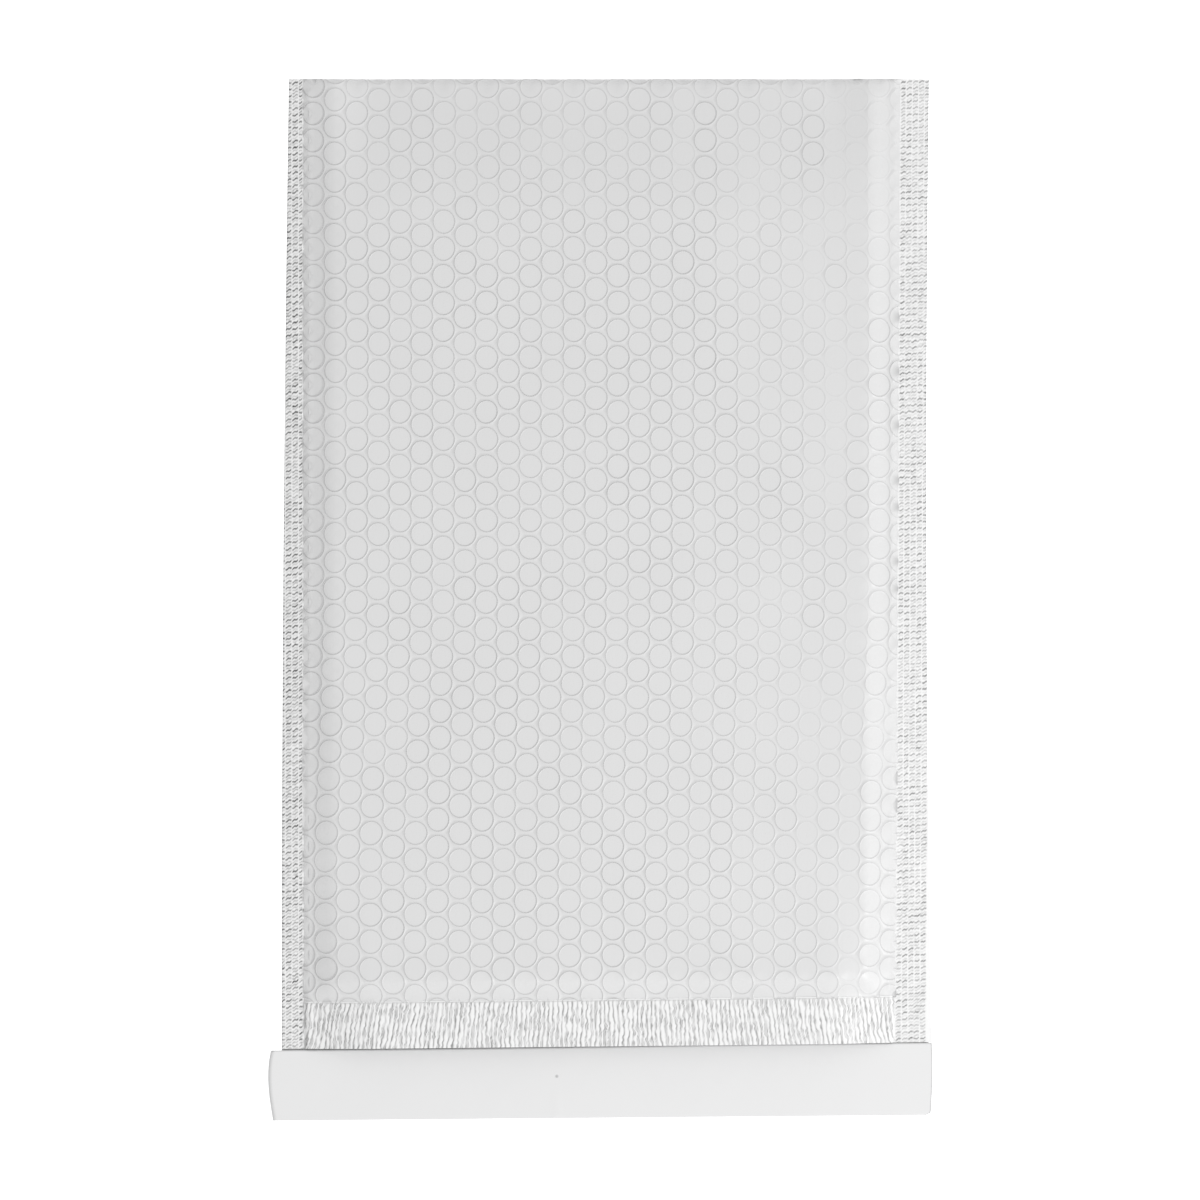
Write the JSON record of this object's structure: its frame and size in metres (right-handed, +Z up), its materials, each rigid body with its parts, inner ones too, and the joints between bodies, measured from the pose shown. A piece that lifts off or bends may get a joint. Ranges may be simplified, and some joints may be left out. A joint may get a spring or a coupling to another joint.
{
  "type": "padded envelope",
  "caption": "Padded mailing envelope of white film lined with bubble film, open at its mouth, with a flap and a covered adhesive strip.",
  "frame": {"origin": "on the surface it lies on, under the middle of the whole object seen from above", "axes": "+Z up, +Y from the mouth to the closed end, +X to the right with the front face up and the closed end away"},
  "size_m": [0.2802, 0.4384, 0.0113],
  "materials": {
    "outer_film": "satin white film, embossed by the bubbles under it",
    "bubble_lining": "clear to milky bubble film",
    "adhesive": "hot-melt adhesive",
    "release_liner": "smooth satin release strip"
  },
  "bodies": {
    "root": {"outer_film": "outer_film", "bubble_lining": "bubble_lining", "adhesive_strip": "adhesive", "release_liner": "release_liner"}
  },
  "joints": []
}
